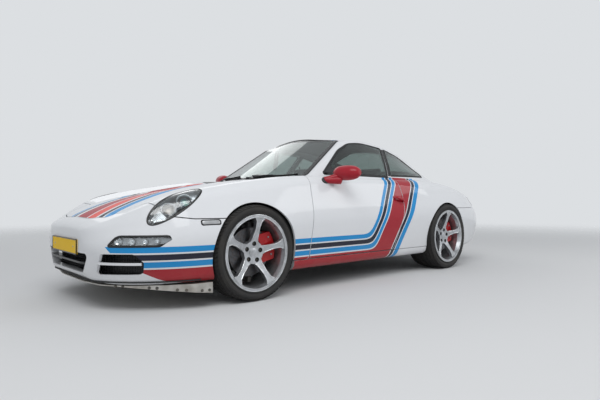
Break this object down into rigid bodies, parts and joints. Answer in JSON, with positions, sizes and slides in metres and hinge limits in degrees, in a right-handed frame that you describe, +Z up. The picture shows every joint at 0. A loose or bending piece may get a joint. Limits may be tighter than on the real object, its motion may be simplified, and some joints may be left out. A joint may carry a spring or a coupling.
{
  "type": "rally car",
  "caption": "Rear-engined two-door coupe prepared for rallying: hollow cabin, opening doors and lids, steered front wheels, wheels that spin, and a metal skid plate under the nose.",
  "frame": {"origin": "on the ground, under the centre of the bounding box", "axes": "+X forward, +Y to the car's left, +Z up"},
  "size_m": [4.442, 2.011, 1.286],
  "materials": {
    "white_paint": "gloss",
    "red_paint": "gloss",
    "black_plastic": "matte",
    "lamp_glass": "gloss",
    "red_lamp": "gloss",
    "tinted_glass": "gloss",
    "painted_steel": "satin",
    "bare_aluminium": "brushed",
    "interior_trim": "matte",
    "seat_fabric": "matte",
    "cast_metal": "satin",
    "stainless_steel": "brushed",
    "chassis_steel": "satin",
    "red_caliper": "gloss",
    "tyre_rubber": "matte",
    "silver_wheel": "satin",
    "yellow_plate": "gloss",
    "disc_iron": "machined"
  },
  "bodies": {
    "body": {"arch_liners": "black_plastic", "body_sides": "white_paint", "bulkhead": "painted_steel", "bumper_grilles": "black_plastic", "bumper_lamps": "lamp_glass", "cowl": "black_plastic", "dashboard": "interior_trim", "engine": "cast_metal", "exhaust": "stainless_steel", "floor_pan": "painted_steel", "front_bumper": "white_paint", "front_fenders": "white_paint", "front_suspension": "chassis_steel", "front_tub": "painted_steel", "headlamps": "lamp_glass", "plates": "yellow_plate", "quarter_glass": "tinted_glass", "rear_bumper": "white_paint", "rear_calipers": "red_caliper", "rear_suspension": "chassis_steel", "rear_tub": "painted_steel", "rear_window": "tinted_glass", "roof": "white_paint", "seats": "seat_fabric", "sills": "red_paint", "skid_plate": "bare_aluminium", "tail_lamps": "red_lamp", "windscreen": "tinted_glass"},
    "front_lid": {"front_lid": "white_paint"},
    "engine_lid": {"engine_lid": "white_paint"},
    "steering_wheel": {"steering_wheel": "interior_trim"},
    "door_left": {"door_left": "white_paint", "door_glass_left": "tinted_glass", "mirror_left": "red_paint"},
    "door_right": {"door_right": "white_paint", "door_glass_right": "tinted_glass", "mirror_right": "red_paint"},
    "knuckle_left": {"knuckle_left": "cast_metal", "caliper_left": "red_caliper"},
    "knuckle_right": {"knuckle_right": "cast_metal", "caliper_right": "red_caliper"},
    "wheel_front_left": {"tyre_front_left": "tyre_rubber", "rim_front_left": "silver_wheel", "disc_front_left": "disc_iron"},
    "wheel_front_right": {"tyre_front_right": "tyre_rubber", "rim_front_right": "silver_wheel", "disc_front_right": "disc_iron"},
    "wheel_rear_left": {"tyre_rear_left": "tyre_rubber", "rim_rear_left": "silver_wheel", "disc_rear_left": "disc_iron"},
    "wheel_rear_right": {"tyre_rear_right": "tyre_rubber", "rim_rear_right": "silver_wheel", "disc_rear_right": "disc_iron"}
  },
  "joints": [
    {"name": "steer_left", "type": "hinge", "parent": "body", "child": "knuckle_left", "pos_m": [1.258, 0.745, 0.321], "axis": [0, 0, 1], "range_deg": [-34, 34]},
    {"name": "steer_right", "type": "hinge", "parent": "body", "child": "knuckle_right", "pos_m": [1.258, -0.745, 0.321], "axis": [0, 0, 1], "range_deg": [-34, 34]},
    {"name": "steering_wheel_turn", "type": "hinge", "parent": "body", "child": "steering_wheel", "pos_m": [0.262, -0.37, 0.772], "axis": [-0.9272, 0, 0.3746], "range_deg": [-470, 470]},
    {"name": "door_left_hinge", "type": "hinge", "parent": "body", "child": "door_left", "pos_m": [0.772, 0.872, 0.56], "axis": [0, 0, -1], "range_deg": [0, 65]},
    {"name": "door_right_hinge", "type": "hinge", "parent": "body", "child": "door_right", "pos_m": [0.772, -0.872, 0.56], "axis": [0, 0, 1], "range_deg": [0, 65]},
    {"name": "front_lid_hinge", "type": "hinge", "parent": "body", "child": "front_lid", "pos_m": [0.797, 0, 0.872], "axis": [0, -1, 0], "range_deg": [0, 65]},
    {"name": "engine_lid_hinge", "type": "hinge", "parent": "body", "child": "engine_lid", "pos_m": [-1.352, 0, 1.006], "axis": [0, 1, 0], "range_deg": [0, 60]},
    {"name": "spin_front_left", "type": "hinge", "parent": "knuckle_left", "child": "wheel_front_left", "pos_m": [1.258, 0.745, 0.321], "axis": [0, 1, 0], "continuous": true},
    {"name": "spin_front_right", "type": "hinge", "parent": "knuckle_right", "child": "wheel_front_right", "pos_m": [1.258, -0.745, 0.321], "axis": [0, 1, 0], "continuous": true},
    {"name": "spin_rear_left", "type": "hinge", "parent": "body", "child": "wheel_rear_left", "pos_m": [-1.092, 0.752, 0.324], "axis": [0, 1, 0], "continuous": true},
    {"name": "spin_rear_right", "type": "hinge", "parent": "body", "child": "wheel_rear_right", "pos_m": [-1.092, -0.752, 0.324], "axis": [0, 1, 0], "continuous": true}
  ],
  "couplings": [
    {"joint": "steer_right", "follows": "steer_left", "ratio": 1},
    {"joint": "steering_wheel_turn", "follows": "steer_left", "ratio": 13.8}
  ]
}
